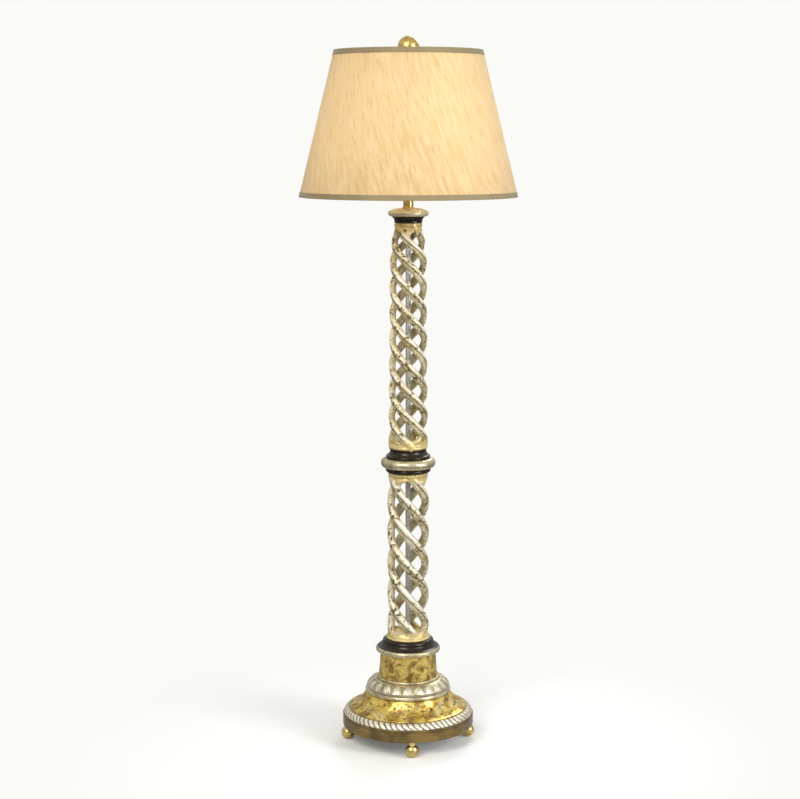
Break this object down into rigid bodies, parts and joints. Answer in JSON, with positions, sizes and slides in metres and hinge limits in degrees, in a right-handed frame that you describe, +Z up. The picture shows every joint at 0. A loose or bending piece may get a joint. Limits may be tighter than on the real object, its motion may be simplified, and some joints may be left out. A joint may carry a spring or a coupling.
{
  "type": "floor lamp",
  "caption": "Traditional floor lamp: carved open barley-twist column around a metal rod, turned knop and cap, round stepped base on ball feet, wide flared fabric shade with ball finial.",
  "frame": {"origin": "centre of the lamp on the floor, under the ball feet", "axes": "+Z up along the column's axis, -Y towards the viewer, +X to the viewer's right; the sockets lean towards +X and -X"},
  "size_m": [0.5098, 0.5098, 1.673],
  "materials": {
    "foot_brass": "polished, lacquered brass, slightly worn",
    "lamp_brass": "satin brass",
    "zinc_steel": "zinc-plated steel",
    "plated_steel": "nickel-plated steel",
    "bulb_metal": "aluminium screw cap",
    "cast_weight": "rough cast iron, black paint",
    "bronzed_wood": "turned wood, brushed bronze finish",
    "silver_leaf": "turned and carved wood, silver leaf under a warm glaze",
    "gold_leaf": "turned and carved wood, antiqued gold leaf",
    "mottled_leaf": "turned wood, mottled gold leaf with dark flecks",
    "aged_leaf": "carved wood, champagne leaf over olive-brown",
    "ebonised_wood": "turned wood, glossy black lacquer",
    "cover_board": "pressed fibre board with felt face",
    "black_plastic": "moulded nylon",
    "phenolic": "moulded phenolic",
    "fibre_sleeve": "vulcanised fibre insulating sleeve",
    "bulb_glass": "frosted lamp glass",
    "shade_cloth": "slubbed woven silk-like shade cloth, honey cream",
    "shade_lining": "smooth cream lining bonded to the cloth",
    "trim_braid": "taupe and olive woven braid"
  },
  "bodies": {
    "root": {"ball_foot_front": "foot_brass", "ball_foot_right": "foot_brass", "ball_foot_back": "foot_brass", "ball_foot_left": "foot_brass", "foot_studs": "zinc_steel", "base_plate": "bronzed_wood", "cord_bushing": "black_plastic", "ballast_weight": "cast_weight", "base_cover": "cover_board", "cover_screws": "zinc_steel", "rope_moulding": "silver_leaf", "base_skirt": "gold_leaf", "skirt_bead": "silver_leaf", "leaf_moulding": "silver_leaf", "drum_bead": "silver_leaf", "drum": "mottled_leaf", "plinth_bead": "silver_leaf", "plinth_ring": "ebonised_wood", "lower_twist": "aged_leaf", "upper_twist": "aged_leaf", "knop_foot_ring": "ebonised_wood", "knop": "silver_leaf", "knop_cavetto": "ebonised_wood", "cap_cove": "ebonised_wood", "cap_dish": "silver_leaf", "neck_tube": "lamp_brass", "centre_rod": "plated_steel", "rod_washer": "zinc_steel", "rod_nut": "zinc_steel", "neck_locknut": "lamp_brass", "riser_rod": "lamp_brass", "riser_locknut": "lamp_brass", "shade_seat_nut": "lamp_brass", "shade_seat_washer": "lamp_brass", "cluster_body": "lamp_brass", "socket_nipples": "zinc_steel", "socket_cap_left": "lamp_brass", "socket_shell_left": "lamp_brass", "socket_sleeve_left": "fibre_sleeve", "socket_switch_left": "phenolic", "screw_shell_left": "lamp_brass", "socket_cap_right": "lamp_brass", "socket_shell_right": "lamp_brass", "socket_sleeve_right": "fibre_sleeve", "socket_switch_right": "phenolic", "screw_shell_right": "lamp_brass"},
    "shade": {"shade_fabric": "shade_cloth", "shade_lining": "shade_lining", "bottom_trim": "trim_braid", "top_trim": "trim_braid", "shade_bottom_ring": "plated_steel", "spider": "plated_steel"},
    "finial": {"finial": "lamp_brass"},
    "key_left": {"key_left": "phenolic"},
    "key_right": {"key_right": "phenolic"},
    "bulb_left": {"bulb_base_left": "bulb_metal", "bulb_glass_left": "bulb_glass"},
    "bulb_right": {"bulb_base_right": "bulb_metal", "bulb_glass_right": "bulb_glass"}
  },
  "joints": [
    {"name": "shade_turn", "type": "hinge", "parent": "root", "child": "shade", "pos_m": [0, 0, 1.608], "axis": [0, 0, 1], "continuous": true},
    {"name": "finial_turn", "type": "hinge", "parent": "root", "child": "finial", "pos_m": [0, 0, 1.6483], "axis": [0, 0, 1], "continuous": true},
    {"name": "key_left_turn", "type": "hinge", "parent": "root", "child": "key_left", "pos_m": [-0.04313, -0.03, 1.39053], "axis": [0, -1, 0], "continuous": true},
    {"name": "key_right_turn", "type": "hinge", "parent": "root", "child": "key_right", "pos_m": [0.04313, -0.03, 1.39053], "axis": [0, -1, 0], "continuous": true},
    {"name": "bulb_left_turn", "type": "hinge", "parent": "root", "child": "bulb_left", "pos_m": [-0.1008, 0, 1.4482], "axis": [-0.7071, 0, 0.7071], "continuous": true},
    {"name": "bulb_right_turn", "type": "hinge", "parent": "root", "child": "bulb_right", "pos_m": [0.1008, 0, 1.4482], "axis": [0.7071, 0, 0.7071], "continuous": true}
  ]
}
